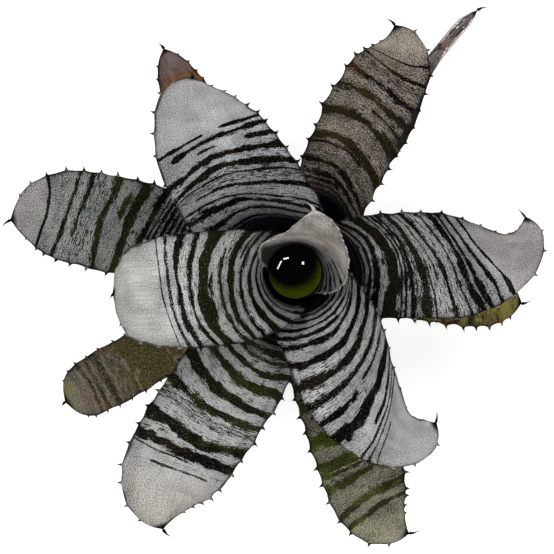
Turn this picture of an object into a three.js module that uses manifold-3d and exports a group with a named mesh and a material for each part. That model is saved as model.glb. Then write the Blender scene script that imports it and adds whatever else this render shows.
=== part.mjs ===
// Amazonian zebra plant (Aechmea chantinii), a tank bromeliad, lifted and stood on its cut stem.
// Thirteen strap leaves clasp a short stem. Their sheaths nest into a tube that holds water, and their
// blades arch outwards, each with a spiny margin, a gutter along the middle and a drawn-out point.
// Millimetres, +Z up. Seen from above, +X is to the right and +Y is up the page. The origin is on the
// tank's axis, where the stem's cut foot meets the surface.
import * as THREE from "three";
import { mergeVertices } from "three/addons/utils/BufferGeometryUtils.js";
import Module from "manifold-3d";

// Driving dimensions of the stem and its roots
const FOOT_RADIUS = 24;
const STEM_SHOULDER = { height: 9, radius: 27 };
const STEM_TOP = { height: 47, radius: 13 };
const ROOT_COUNT = 9;
const ROOT_RADIUS = 2.1;
const ROOT_REACH = [44, 56];
const ROOT_LIFT = 0.2;

// Driving dimensions of the tank: where each sheath joins the stem, and how the sheaths nest
const FIRST_JOINT_HEIGHT = 43.5;
const JOINT_STEP = 2.6;
const JOINT_GAP = 0.7;
const TANK_RADIUS = 23.5;
const NEST_STEP = 2.5;
const SHEATH_SWELL_HEIGHT = 55;
const WATER_LEVEL = 104;
const WATER_BOTTOM = 54;
const WATER_CLEARANCE = 1.2;

// Driving dimensions that every leaf shares
const THICKNESS = 1.1;
const COLLAR_NARROWING = 0.93;
const POINT_LENGTH = 9;
const POINT_HALF_WIDTH = 1.3;
const END_SHAPE = 1.05;
const SPINE_LENGTH = 4;
const SPINE_BASE = 3.8;
const SPINE_SPACING = 14;
const SPINE_SPACING_AT_TIP = 7.5;
const WALK_STEP = 1;

// Each leaf, from the youngest and innermost to the oldest and outermost. azimuth is where it leaves the
// stem, in degrees from +X. collar is the height at which its blade leaves the tube, length the blade's
// length beyond it, half its half width, clasp the half angle that its base wraps round the stem, and round
// the length over which its end widens. A dried end is rolled up, with a half width of its own. The four
// lists hold values at each fifth of the way along the blade, up to its tip, in degrees: pitch from
// upright, turn to the left seen from above, roll that lifts the left margin, and gutter, the half angle
// of the blade's arched section.
const LEAVES = [
  { name: "heart_leaf", azimuth: 62, collar: 120, length: 123, half: 48,
    clasp: 150, round: 28, color: "#98958f",
    pitch: [5, 8, 10, 24, 48], turn: [4, 9, 17, 32, 46],
    roll: [0, -4, -9, -11, -8], gutter: [94, 68, 55, 46, 20] },
  { name: "left_leaf", azimuth: 196, collar: 108, length: 194, half: 48,
    clasp: 140, round: 21, color: "#83827d",
    pitch: [16, 38, 66, 105, 160], turn: [-4, -9, -12, -13, -13],
    roll: [0, 0, 0, 0, 0], gutter: [72, 52, 40, 30, 12] },
  { name: "lower_right_leaf", azimuth: 300.6, collar: 100, length: 203, half: 46,
    clasp: 135, round: 19, color: "#7d7c78",
    pitch: [34, 54, 68, 86, 114], turn: [0, -3, 1, 26, 140],
    roll: [0, 8, 29, 48, 44], gutter: [60, 48, 38, 30, 12] },
  { name: "upper_left_leaf", azimuth: 127, collar: 98, length: 206, half: 55,
    clasp: 130, round: 34, color: "#7c7b78",
    pitch: [26, 52, 76, 100, 145], turn: [0, -1, -7, -21, -42],
    roll: [0, 5, 10, 14, 12], gutter: [56, 42, 34, 26, 12] },
  { name: "lower_left_leaf", azimuth: 238.4, collar: 88, length: 246, half: 44,
    clasp: 125, round: 23, color: "#7a7976",
    pitch: [38, 68, 82, 88, 98], turn: [0, -1, -1, 4, 58],
    roll: [0, -4, -4, 0, 0], gutter: [50, 38, 30, 24, 10] },
  { name: "right_leaf", azimuth: 4.9, collar: 90.5, length: 215, half: 45,
    clasp: 120, round: 19, color: "#6d6c69",
    pitch: [34, 62, 76, 86, 105], turn: [0, -2, -3, 16, 125],
    roll: [0, 6, 18, 50, 54], gutter: [52, 40, 32, 24, 10] },
  { name: "upper_right_leaf", azimuth: 66, collar: 84, length: 214, half: 35,
    clasp: 115, round: 19, color: "#534e46",
    pitch: [46, 70, 80, 86, 94], turn: [0, 0, 0, -7, 64],
    roll: [0, 0, 3, 12, 20], gutter: [50, 38, 28, 22, 10] },
  { name: "far_left_leaf", azimuth: 164.4, collar: 80, length: 229, half: 40,
    clasp: 110, round: 17, color: "#646462",
    pitch: [50, 74, 84, 90, 97], turn: [0, 2, 4.5, 9, 36],
    roll: [0, 0, 4, 14, 25], gutter: [46, 36, 28, 22, 10] },
  { name: "bottom_leaf", azimuth: 288.5, collar: 76, length: 227, half: 35,
    clasp: 105, round: 21, color: "#5d5c4a",
    pitch: [50, 74, 84, 90, 98], turn: [0, 0, 0, 5, 70],
    roll: [0, 0, 0, 10, 20], gutter: [44, 34, 26, 20, 10] },
  { name: "old_upper_left_leaf", azimuth: 122.3, collar: 66, length: 194, half: 21,
    clasp: 100, round: 18, color: "#6b5852",
    pitch: [60, 82, 92, 96, 100], turn: [0, 0, -2, -5, -10],
    roll: [0, 0, 0, 0, 0], gutter: [36, 28, 24, 18, 10] },
  { name: "old_lower_left_leaf", azimuth: 209.5, collar: 60, length: 200, half: 25,
    clasp: 95, round: 9, color: "#463e2f",
    pitch: [64, 88, 98, 104, 110], turn: [0, 0, 0, 0, 0],
    roll: [0, 0, 0, 0, 0], gutter: [36, 28, 24, 18, 10] },
  { name: "old_right_leaf", azimuth: 352.2, collar: 56, length: 166, half: 27,
    clasp: 90, round: 15, color: "#4f4f2c",
    pitch: [64, 88, 98, 104, 110], turn: [0, 0, 0, 0, 0],
    roll: [0, 0, 0, 0, 0], gutter: [36, 28, 24, 18, 10] },
  { name: "dry_leaf", azimuth: 59.8, collar: 52, length: 236, half: 24,
    clasp: 90, round: 20, rolled: 13, color: "#655c53",
    pitch: [62, 84, 86, 84, 82], turn: [0, -4, -6, -10, -16],
    roll: [0, 0, 0, 0, 0], gutter: [36, 32, 60, 150, 150] },
];

const UP = new THREE.Vector3(0, 0, 1);
const radians = THREE.MathUtils.degToRad;
const mix = THREE.MathUtils.lerp;
const smooth = (x) => THREE.MathUtils.smoothstep(x, 0, 1);

// A smooth value at t, from 0 to 1, through evenly spaced values (a uniform Catmull-Rom spline)
function through(values, t) {
  const last = values.length - 1;
  const i = Math.min(Math.floor(t * last), last - 1);
  const u = t * last - i;
  const [b, c] = [values[i], values[i + 1]];
  const a = i > 0 ? values[i - 1] : 2 * b - c;
  const d = i < last - 1 ? values[i + 2] : 2 * c - b;
  return b + 0.5 * u * (c - a + u * (2 * a - 5 * b + 4 * c - d + u * (3 * (b - c) + d - a)));
}

const stemRadius = (z) => mix(STEM_SHOULDER.radius, STEM_TOP.radius,
  (z - STEM_SHOULDER.height) / (STEM_TOP.height - STEM_SHOULDER.height));

// The sheath of the leaf at a rank: where it joins the stem, and its radius at a height
function sheathOf(rank) {
  const joint = FIRST_JOINT_HEIGHT - JOINT_STEP * rank;
  const jointRadius = stemRadius(joint) + JOINT_GAP + THICKNESS / 2;
  const tubeRadius = TANK_RADIUS + NEST_STEP * rank;
  const radiusAt = (z) => mix(jointRadius, tubeRadius,
    Math.sin((Math.PI / 2) * Math.min(1, (z - joint) / SHEATH_SWELL_HEIGHT)));
  const slopeAt = (z) => THREE.MathUtils.radToDeg(Math.atan(radiusAt(z + 0.5) - radiusAt(z - 0.5)));
  return { joint, tubeRadius, radiusAt, slopeAt };
}

// Half the blade's width at a distance from its very tip: a slender point, then a quickly widening end
function endHalfWidth(leaf, fromTip) {
  const point = POINT_HALF_WIDTH * Math.min(1, fromTip / POINT_LENGTH);
  const beyond = Math.max(0, fromTip - 0.55 * POINT_LENGTH);
  return point + (leaf.half - point) * (1 - Math.exp(-((beyond / leaf.round) ** END_SHAPE)));
}

// The leaf's midrib, walked in small steps: place, frame, half width and half angle of the section
function walkLeaf(leaf, rank) {
  const sheath = sheathOf(rank);
  const azimuth = radians(leaf.azimuth);
  const outward = new THREE.Vector3(1, 0, 0).applyAxisAngle(UP, azimuth);
  const side = UP.clone().cross(outward);
  const collarAngle = (COLLAR_NARROWING * leaf.half) / sheath.tubeRadius;
  const stations = [];
  for (let z = sheath.joint; z < leaf.collar; z += WALK_STEP) {
    const share = (z - sheath.joint) / (leaf.collar - sheath.joint);
    const radius = sheath.radiusAt(z);
    const angle = mix(radians(leaf.clasp), collarAngle, smooth(share));
    stations.push({ along: z - leaf.collar, place: outward.clone().multiplyScalar(radius).setZ(z),
      inward: outward.clone().negate(), side: side.clone(), angle, half: angle * radius });
  }
  const place = outward.clone().multiplyScalar(sheath.radiusAt(leaf.collar)).setZ(leaf.collar);
  const steps = Math.round(leaf.length / WALK_STEP);
  for (let i = 0; i <= steps; i++) {
    const t = i / steps;
    const pitch = radians(through([sheath.slopeAt(leaf.collar), ...leaf.pitch], t));
    const heading = azimuth + radians(through([0, ...leaf.turn], t));
    const roll = radians(through([0, ...leaf.roll], t));
    const tilt = pitch * smooth(t / 0.3);
    const ahead = new THREE.Vector3(1, 0, 0).applyAxisAngle(UP, heading);
    const along = ahead.clone().multiplyScalar(Math.sin(pitch)).addScaledVector(UP, Math.cos(pitch));
    const inward = ahead.clone().multiplyScalar(-Math.cos(tilt)).addScaledVector(UP, Math.sin(tilt));
    const across = UP.clone().cross(ahead);
    inward.applyAxisAngle(along, roll);
    across.applyAxisAngle(along, roll);
    const angle = radians(through([collarAngle * 180 / Math.PI, ...leaf.gutter], t));
    const broad = leaf.rolled ? mix(leaf.half, leaf.rolled, smooth((t - 0.45) / 0.3)) : leaf.half;
    const base = mix(COLLAR_NARROWING, 1, smooth(t / 0.5)) * broad;
    const half = Math.min(base, endHalfWidth(leaf, leaf.length * (1 - t)));
    stations.push({ along: t * leaf.length, place: place.clone(), inward, side: across, angle, half });
    place.addScaledVector(along, leaf.length / steps);
  }
  return stations;
}

// The middle surface of a leaf: along is the distance beyond the collar, across runs from -1 to 1
function leafSurface(leaf, rank) {
  const stations = walkLeaf(leaf, rank);
  const first = stations[0].along;
  const collarIndex = stations.findIndex((s) => s.along === 0);
  const blade = leaf.length / (stations.length - 1 - collarIndex);
  const indexOf = (along) => along < 0
    ? Math.min((along - first) / WALK_STEP, collarIndex)
    : collarIndex + along / blade;
  const at = (along, across) => {
    const index = Math.max(0, Math.min(stations.length - 1.000001, indexOf(along)));
    const [a, b] = [stations[Math.floor(index)], stations[Math.floor(index) + 1]];
    const u = index - Math.floor(index);
    const half = mix(a.half, b.half, u);
    const angle = mix(a.angle, b.angle, u);
    const radius = half / angle;
    const turned = across * angle;
    return a.place.clone().lerp(b.place, u)
      .addScaledVector(a.inward.clone().lerp(b.inward, u), radius * (1 - Math.cos(turned)))
      .addScaledVector(a.side.clone().lerp(b.side, u), radius * Math.sin(turned));
  };
  const EPSILON = 0.4;
  const axes = (along, across) => {
    const lengthwise = at(along + EPSILON, across).sub(at(along - EPSILON, across)).normalize();
    const near = Math.abs(across) > 0.99 ? Math.sign(across) * 0.99 : across;
    const crosswise = at(along, near + 0.01).sub(at(along, near - 0.01)).normalize();
    const normal = lengthwise.clone().cross(crosswise).normalize();
    return { lengthwise, crosswise, normal };
  };
  return { at, axes, start: first, end: leaf.length };
}

// Spines: their places along one margin, from near the collar to the blade's end
function spinePlaces(leaf, offset) {
  const places = [];
  let fromTip = POINT_LENGTH + 5 + 3 * offset;
  while (fromTip < leaf.length - 18) {
    places.push(leaf.length - fromTip);
    fromTip += mix(SPINE_SPACING_AT_TIP, SPINE_SPACING, Math.min(1, fromTip / 60));
  }
  return places.reverse();
}

// The triangles between two chains of nodes that run side by side, each with a rising parameter
function zip(a, b, key) {
  const triangles = [];
  let [i, j] = [0, 0];
  while (i < a.length - 1 || j < b.length - 1) {
    const nextA = i < a.length - 1 ? key(a[i + 1]) : Infinity;
    const nextB = j < b.length - 1 ? key(b[j + 1]) : Infinity;
    if (nextA <= nextB) triangles.push([a[i], a[++i], b[j]]);
    else triangles.push([a[i], b[j + 1], b[j++]]);
  }
  return triangles.filter(([p, q, r]) => p !== q && q !== r && r !== p);
}

// One leaf as a closed solid: the same triangles on both faces, walls round the edge, a spine where the
// wall's stretch is marked as one
function leafGeometry(leaf, rank) {
  const surface = leafSurface(leaf, rank);
  const positions = [];
  const vertex = (p) => positions.push(p.x, p.y, p.z) / 3 - 1;
  const node = (along, across) => {
    const p = surface.at(along, across);
    const { normal } = surface.axes(along, across);
    const half = THICKNESS / 2;
    return { along, across, top: vertex(p.clone().addScaledVector(normal, half)),
      bottom: vertex(p.clone().addScaledVector(normal, -half)) };
  };
  const rows = [];
  const sheathRows = 5;
  const sheathColumns = rank < 2 ? 14 : 12;
  for (let i = 0; i < sheathRows; i++) {
    rows.push({ along: mix(surface.start, 0, i / sheathRows), columns: sheathColumns });
  }
  const fromTips = [5, 9, 12, 16, 22, 30, 42, 56];
  const bladeRows = Math.max(2, Math.round((leaf.length - 66) / 19));
  for (let i = 0; i < bladeRows; i++) {
    rows.push({ along: ((leaf.length - 66) * i) / (bladeRows - 1), columns: i < 2 ? 10 : 8 });
  }
  for (const d of fromTips.reverse()) {
    rows.push({ along: leaf.length - d, columns: d < 8 ? 2 : d < 14 ? 4 : d < 25 ? 6 : 8 });
  }
  const grid = rows.map(({ along, columns }) =>
    Array.from({ length: columns + 1 }, (_, j) => node(along, (2 * j) / columns - 1)));
  const tip = surface.at(leaf.length, 0);
  const apex = vertex(tip);
  grid.push([{ along: leaf.length, across: 0, top: apex, bottom: apex }]);

  const faces = [];
  const both = (a, b, c) => faces.push([a.top, b.top, c.top], [c.bottom, b.bottom, a.bottom]);
  const margins = [-1, 1].map((sign) => {
    const extra = [];
    for (const place of spinePlaces(leaf, sign > 0 ? 1 : 0)) {
      const clear = (shift) => rows.every((r) => Math.abs(r.along - place - shift) > SPINE_BASE / 2 + 0.5);
      const shift = [0, 1, -1, 2, -2, 3, -3].find(clear);
      if (shift === undefined) continue;
      const a = node(place + shift - SPINE_BASE / 2, sign);
      const b = node(place + shift + SPINE_BASE / 2, sign);
      a.spine = true;
      extra.push(a, b);
    }
    return extra;
  });
  const along = (n) => n.along;
  const across = (n) => n.across;
  for (let i = 0; i < grid.length - 1; i++) {
    const [low, high] = [grid[i], grid[i + 1]];
    const inner = (row) => (row.length > 2 ? row.slice(1, -1) : row);
    for (const [a, b, c] of zip(inner(low), inner(high), across)) both(c, b, a);
    [-1, 1].forEach((sign, k) => {
      const edge = (row) => (sign > 0 ? row[row.length - 1] : row[0]);
      const inside = (row) => (row.length > 2 ? (sign > 0 ? row[row.length - 2] : row[1]) : row[0]);
      const chain = [edge(low), ...margins[k].filter((n) => n.along > edge(low).along
        && n.along < edge(high).along), edge(high)];
      const innerChain = [inside(low), inside(high)];
      for (const [a, b, c] of zip(innerChain, chain, along)) {
        if (sign > 0) both(a, b, c);
        else both(c, b, a);
      }
      for (let j = 0; j < chain.length - 1; j++) {
        const [a, b] = [chain[j], chain[j + 1]];
        const wall = [];
        if (a.spine) {
          const middle = (a.along + b.along) / 2;
          const { lengthwise, crosswise } = surface.axes(middle, sign);
          const point = vertex(surface.at(middle, sign).addScaledVector(crosswise, sign * SPINE_LENGTH)
            .addScaledVector(lengthwise, 0.35 * SPINE_LENGTH));
          wall.push([a.bottom, a.top, point], [a.top, b.top, point], [b.top, b.bottom, point],
            [b.bottom, a.bottom, point]);
        } else {
          wall.push([a.bottom, a.top, b.top], [a.bottom, b.top, b.bottom]);
        }
        for (const [p, q, r] of wall) {
          if (p !== q && q !== r && r !== p) faces.push(sign > 0 ? [p, q, r] : [r, q, p]);
        }
      }
    });
  }
  for (let j = 0; j < grid[0].length - 1; j++) {
    const [a, b] = [grid[0][j], grid[0][j + 1]];
    faces.push([a.bottom, a.top, b.top], [a.bottom, b.top, b.bottom]);
  }
  const geometry = new THREE.BufferGeometry();
  geometry.setAttribute("position", new THREE.Float32BufferAttribute(positions, 3));
  geometry.setIndex(faces.flat());
  return geometry;
}

// Joins and cuts are made with manifold-3d
const wasm = await Module();
wasm.setup();

function toSolid(source) {
  const bare = source.clone().deleteAttribute("normal").deleteAttribute("uv");
  const merged = mergeVertices(bare, 1e-3);
  return new wasm.Manifold(new wasm.Mesh({ numProp: 3, vertProperties: merged.attributes.position.array,
    triVerts: new Uint32Array(merged.index.array) }));
}

function toGeometry(solid) {
  const mesh = solid.getMesh();
  const geometry = new THREE.BufferGeometry();
  geometry.setAttribute("position", new THREE.BufferAttribute(mesh.vertProperties, 3));
  geometry.setIndex(new THREE.BufferAttribute(mesh.triVerts, 1));
  return geometry;
}

// A lathe about Z from a profile of [radius, height] points that starts and ends on the axis
function lathe(profile, segments) {
  const points = profile.map(([r, z]) => new THREE.Vector2(r, z));
  return new THREE.LatheGeometry(points, segments).rotateX(Math.PI / 2);
}

// A trimmed root: out of the stem's flank, down to the surface and along it
function rootGeometry(index) {
  const azimuth = (2 * Math.PI * (index + 0.3 * Math.sin(5 * index))) / ROOT_COUNT;
  const bend = 0.12 * Math.sin(3 * index + 1);
  const reach = mix(ROOT_REACH[0], ROOT_REACH[1], 0.5 + 0.5 * Math.sin(4 * index));
  const at = (radius, z, turn) => new THREE.Vector3(radius, 0, z).applyAxisAngle(UP, azimuth + turn);
  const low = ROOT_RADIUS + ROOT_LIFT;
  const curve = new THREE.CatmullRomCurve3([at(16, 7, 0), at(FOOT_RADIUS + 1, 6, 0),
    at(FOOT_RADIUS + 9, low + 0.3, 0.4 * bend), at(0.5 * (FOOT_RADIUS + 9 + reach), low, bend),
    at(reach, low, 1.6 * bend)]);
  const section = new THREE.Shape().absarc(0, 0, ROOT_RADIUS, 0, 2 * Math.PI);
  return new THREE.ExtrudeGeometry(section, { steps: 9, curveSegments: 4, extrudePath: curve });
}

// The stem: a short, tapering caudex, ringed with the scars of shed leaves where it shows, cut flat below
function stemGeometry() {
  const profile = [[0, 0], [FOOT_RADIUS, 0]];
  const scars = 3;
  for (let i = 0; i < scars; i++) {
    const z = (STEM_SHOULDER.height * i) / scars;
    const radius = mix(FOOT_RADIUS, STEM_SHOULDER.radius, (i + 0.5) / scars);
    profile.push([radius + 0.8, z + 1], [radius + 0.9, z + 1.9], [radius, z + 2.6]);
  }
  profile.push([STEM_SHOULDER.radius, STEM_SHOULDER.height], [STEM_TOP.radius, STEM_TOP.height],
    [0.5 * STEM_TOP.radius, STEM_TOP.height + 3], [0, STEM_TOP.height + 4]);
  const parts = [toSolid(lathe(profile, 40))];
  for (let i = 0; i < ROOT_COUNT; i++) parts.push(toSolid(rootGeometry(i)));
  return toGeometry(wasm.Manifold.union(parts));
}

function waterGeometry() {
  const wall = (z) => sheathOf(0).radiusAt(z) - THICKNESS / 2 - WATER_CLEARANCE;
  const profile = [[0, WATER_BOTTOM]];
  for (let i = 0; i <= 4; i++) {
    const z = mix(WATER_BOTTOM, WATER_LEVEL, i / 4);
    profile.push([wall(z), z]);
  }
  profile.push([0, WATER_LEVEL]);
  return lathe(profile, 32);
}

// Plain materials: grey-scurfed green, olive and brown for the old leaves
const finish = (color, roughness) => new THREE.MeshStandardMaterial({ color, roughness, metalness: 0 });

const plant = new THREE.Group();
function add(name, geometry, material) {
  const mesh = new THREE.Mesh(geometry, material);
  mesh.name = name;
  plant.add(mesh);
}

add("stem", stemGeometry(), finish("#5a4630", 0.9));
add("tank_water", waterGeometry(), finish("#10140a", 0.05));
LEAVES.forEach((leaf, rank) => {
  add(leaf.name, leafGeometry(leaf, rank), finish(leaf.color, 0.6));
});

export default plant;
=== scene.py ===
"""The looks of an amazonian zebra plant, a tank bromeliad with banded leaves, built round its solids.

Each piece stands where its solid stands. The plant's own sizes are millimetres, which become metres in
Blender. Seen from above, +X is to the right and +Y is up the page, and +Z is up along the tank's axis.
"""

import bisect
import logging
import math
import random
from dataclasses import dataclass
from enum import Enum

import bmesh
import bpy
import numpy
from bmesh.types import BMesh, BMFace, BMVert
from bpy.types import Material, Node, NodeSocket, Object
from mathutils import Matrix, Vector, noise


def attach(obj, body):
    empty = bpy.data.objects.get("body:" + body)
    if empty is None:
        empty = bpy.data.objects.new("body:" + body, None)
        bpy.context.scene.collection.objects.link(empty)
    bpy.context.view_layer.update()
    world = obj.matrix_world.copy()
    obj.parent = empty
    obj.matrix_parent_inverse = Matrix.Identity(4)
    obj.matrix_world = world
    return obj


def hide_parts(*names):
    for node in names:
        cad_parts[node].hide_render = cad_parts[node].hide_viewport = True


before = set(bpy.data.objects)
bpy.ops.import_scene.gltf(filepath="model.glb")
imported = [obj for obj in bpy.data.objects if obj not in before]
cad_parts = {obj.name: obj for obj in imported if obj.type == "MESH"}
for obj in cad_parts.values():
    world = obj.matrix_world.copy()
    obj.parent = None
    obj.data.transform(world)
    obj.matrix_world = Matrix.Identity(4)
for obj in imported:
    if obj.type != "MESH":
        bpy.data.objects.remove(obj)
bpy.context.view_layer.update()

LOG = logging.getLogger("zebra_plant")
BODY = "root"
MM = 0.001
UP = Vector((0, 0, 1))

# The stem, its roots and the tank, as the solids have them
FOOT_RADIUS = 24
STEM_SHOULDER_HEIGHT = 9
STEM_SHOULDER_RADIUS = 27
STEM_TOP_HEIGHT = 47
STEM_TOP_RADIUS = 13
ROOT_COUNT = 9
ROOT_RADIUS = 2.1
ROOT_REACH = (44, 56)
ROOT_LIFT = 0.2
FIRST_JOINT_HEIGHT = 43.5
JOINT_STEP = 2.6
JOINT_GAP = 0.7
TANK_RADIUS = 23.5
NEST_STEP = 2.5
SHEATH_SWELL_HEIGHT = 55
WATER_LEVEL = 104
WATER_BOTTOM = 54
WATER_CLEARANCE = 1.2

# What every leaf shares
LEVEL = (0, 0, 0, 0, 0)
THICKNESS = 1.1
MARGIN_THICKNESS = 0.55
MARGIN_TAPER = 5
COLLAR_NARROWING = 0.93
POINT_LENGTH = 9
POINT_HALF_WIDTH = 1.3
END_SHAPE = 1.05
FREE_FROM = 25
MARGIN_STRAY = 1.5
SWELL_DEPTH = 0.9
RIPPLE_DEPTH = 0.35
MARGIN_WAVE = 1.1
SPINELESS_COLLAR = 18
CLOSE_SPINES = 60
SPINE_STRAY = 1.5
SPINE_LENGTHS = (0.9, 1.4)
SPINE_BASE = 3.8
SPINE_HOOK = 0.42
SPINE_DEPTH = 0.55
HORN_ROOT = 4
HORN_HALF_WIDTH = 1.5
HORN_HALF_DEPTH = 0.8

# The mesh of a leaf, and the two attributes that its skin reads
ROW_STEP = 1.5
COLUMN_STEP = 2.0
COARSE_ROWS = 0.86
FINE_END = 24
WELD = 2e-6
PLACE_LAYER = "leaf_place"
FRAME_LAYER = "band_frame"

# The bands, in mm, and in shares of the half width
EDGE_BLUR = 0.35
REACH_BLUR = 0.12
RING_HALF_WIDTH = 2.6
RING_SPACING = 6.5
LOOSE_INK = 0.5
LOOSE_INSIDE = -0.25
BAND_WAVER = 0.9


def mix(a: float, b: float, t: float) -> float:
    """Return the value a share t of the way from a to b."""
    return a + (b - a) * t


def smooth(x: float) -> float:
    """Return a smooth step from 0 to 1 as x goes from 0 to 1."""
    x = min(1.0, max(0.0, x))
    return x * x * (3 - 2 * x)


def through(values: list[float], t: float) -> float:
    """Return a smooth value through evenly spaced ones.

    Args:
        values: the values to pass through.
        t: the place between the first and the last, from 0 to 1.

    Returns:
        The value of a uniform Catmull-Rom spline at t.
    """
    last = len(values) - 1
    i = min(int(t * last), last - 1)
    u = t * last - i
    b, c = values[i], values[i + 1]
    a = values[i - 1] if i > 0 else 2 * b - c
    d = values[i + 2] if i < last - 1 else 2 * c - b
    return b + 0.5 * u * (c - a + u * (2 * a - 5 * b + 4 * c - d + u * (3 * (b - c) + d - a)))


def around(turn: float, radius: float = 1.0, height: float = 0.0) -> Vector:
    """Return a point by its angle round the axis, its radius and its height."""
    return Vector((radius * math.cos(turn), radius * math.sin(turn), height))


def linear(value: int) -> float:
    """Return the linear share of a colour picker's value from 0 to 255."""
    share = value / 255
    return share / 12.92 if share <= 0.04045 else ((share + 0.055) / 1.055) ** 2.4


class Slot(Enum):
    """The record's material slots."""

    SILVER = "leaf_silver"
    OLIVE = "leaf_olive"
    BROWN = "leaf_brown"
    BARK = "stem_bark"
    WATER = "water"


class Value:
    """A number, a vector or a colour that a material works out at each place."""

    def __init__(self, graph: "Graph", socket: NodeSocket) -> None:
        """Hold the socket that gives the value."""
        self.graph = graph
        self.socket = socket

    def __add__(self, other: "Value | float") -> "Value":
        """Return the sum."""
        return self.graph.math("ADD", self, other)

    def __sub__(self, other: "Value | float") -> "Value":
        """Return the difference."""
        return self.graph.math("SUBTRACT", self, other)

    def __rsub__(self, number: float) -> "Value":
        """Return a number less this value."""
        return self.graph.math("SUBTRACT", number, self)

    def __mul__(self, other: "Value | float") -> "Value":
        """Return the product."""
        return self.graph.math("MULTIPLY", self, other)

    def size(self) -> "Value":
        """Return the value without its sign."""
        return self.graph.math("ABSOLUTE", self)

    def least(self, other: "Value | float") -> "Value":
        """Return the smaller of two values."""
        return self.graph.math("MINIMUM", self, other)

    def most(self, other: "Value | float") -> "Value":
        """Return the larger of two values."""
        return self.graph.math("MAXIMUM", self, other)

    def ramp(self, low: float, high: float, start: float = 0.0, end: float = 1.0,
             soft: bool = False) -> "Value":
        """Return the value carried from low..high to start..end, and held there outside.

        Args:
            low: where the result is start.
            high: where the result is end.
            start: the result at low.
            end: the result at high.
            soft: eases in and out.

        Returns:
            The carried value.
        """
        node = self.graph.node("MapRange")
        node.interpolation_type = "SMOOTHSTEP" if soft else "LINEAR"
        return self.graph.fill(node, self, low, high, start, end)


Number = Value | float
Paint = tuple[int, int, int]
Vectors = tuple[Vector, ...]


class Graph:
    """Wires the nodes of one material."""

    def __init__(self, name: str) -> None:
        """Start a material that holds one principled shader."""
        self.material = bpy.data.materials.new(name)
        self.material.use_nodes = True
        self.tree = self.material.node_tree
        self.tree.nodes.clear()
        self.shader = self.node("BsdfPrincipled")
        self.tree.links.new(self.shader.outputs["BSDF"], self.node("OutputMaterial").inputs["Surface"])

    def node(self, kind: str, **inputs: Number) -> Node:
        """Add a shader node, and feed the inputs that are named."""
        node = self.tree.nodes.new("ShaderNode" + kind)
        for name, value in inputs.items():
            self.feed(node.inputs[name], value)
        return node

    def feed(self, socket: NodeSocket, value: Number | tuple[float, ...]) -> None:
        """Give a socket a constant, or a link from the value's own socket."""
        if isinstance(value, Value):
            self.tree.links.new(value.socket, socket)
        else:
            socket.default_value = value

    def fill(self, node: Node, *values: Number) -> Value:
        """Feed a node's first inputs in order, and return what it works out."""
        for socket, value in zip(node.inputs, values):
            self.feed(socket, value)
        return Value(self, node.outputs[0])

    def set(self, name: str, value: Number | tuple[float, ...]) -> None:
        """Set or link one of the shader's own inputs."""
        self.feed(self.shader.inputs[name], value)

    def _parts(self, source: NodeSocket) -> tuple[Value, ...]:
        """Return the three parts of a vector."""
        parts = self.node("SeparateXYZ")
        self.tree.links.new(source, parts.inputs[0])
        return tuple(Value(self, socket) for socket in parts.outputs)

    def attribute(self, name: str) -> tuple[Value, ...]:
        """Return the three parts of a vector attribute of the mesh."""
        source = self.node("Attribute")
        source.attribute_name = name
        return self._parts(source.outputs["Vector"])

    def object_parts(self) -> tuple[Value, ...]:
        """Return the object coordinates' three parts."""
        return self._parts(self.node("TexCoord").outputs["Object"])

    def math(self, operation: str, *values: Number, clamp: bool = False) -> Value:
        """Return the result of a sum on one or two values."""
        node = self.node("Math")
        node.operation = operation
        node.use_clamp = clamp
        return self.fill(node, *values)

    def vector(self, x: Number, y: Number, z: Number) -> Value:
        """Return a vector joined from three values."""
        return self.fill(self.node("CombineXYZ"), x, y, z)

    def noise(self, place: Value, scale: float, detail: float = 3.0, roughness: float = 0.55) -> Value:
        """Return a fractal noise, spread to about 0 to 1.

        Args:
            place: the vector to read it at.
            scale: how many features there are to a unit of that vector.
            detail: how many finer layers it has.
            roughness: how strong the finer layers are.

        Returns:
            The noise's value, clamped to 0 to 1.
        """
        node = self.node("TexNoise", Vector=place, Scale=scale, Detail=detail, Roughness=roughness)
        return Value(self, node.outputs[0]).ramp(0.28, 0.72)

    def mix(self, share: Number, a: Number, b: Number) -> Value:
        """Return a value a share of the way from a to b."""
        node = self.node("Mix")
        for place, value in ((0, share), (2, a), (3, b)):
            self.feed(node.inputs[place], value)
        return Value(self, node.outputs[0])

    def blend(self, share: Number, a: Value | Paint, b: Value | Paint, mode: str = "MIX") -> Value:
        """Return a colour a share of the way from a to b.

        Args:
            share: the share, from 0 to 1.
            a: a colour that is worked out, or the 0 to 255 values of a colour picker.
            b: the same.
            mode: how b goes over a.

        Returns:
            The colour.
        """
        node = self.node("Mix")
        node.data_type = "RGBA"
        node.blend_type = mode
        self.feed(node.inputs[0], share)
        for place, color in ((6, a), (7, b)):
            self.feed(node.inputs[place], (*map(linear, color), 1.0) if isinstance(color, tuple) else color)
        return Value(self, node.outputs[2])

    def dim(self, color: Value, shade: Value) -> Value:
        """Return a colour times a value."""
        return self.blend(1.0, color, self.vector(shade, shade, shade), mode="MULTIPLY")

    def bump(self, height: Value, depth: float) -> None:
        """Give the shader a bump of that depth in metres, for heights from 0 to 1."""
        node = self.node("Bump", Strength=1.0, Distance=depth, Height=height)
        self.tree.links.new(node.outputs[0], self.shader.inputs["Normal"])


@dataclass(frozen=True)
class Band:
    """One dark cross-band of a leaf.

    middle is its place on the midrib, in mm beyond the collar, width its width there, ink how solid it is,
    from 0 to 1, left and right how far it reaches towards each margin, as a share of the half width, and
    green how far its skin turns to the leaf's own green. Below an ink of one half it is a loose patch of
    strokes.
    """

    middle: float
    width: float
    ink: float = 1.0
    left: float = 1.0
    right: float = 1.0
    green: float = 0.0


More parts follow.
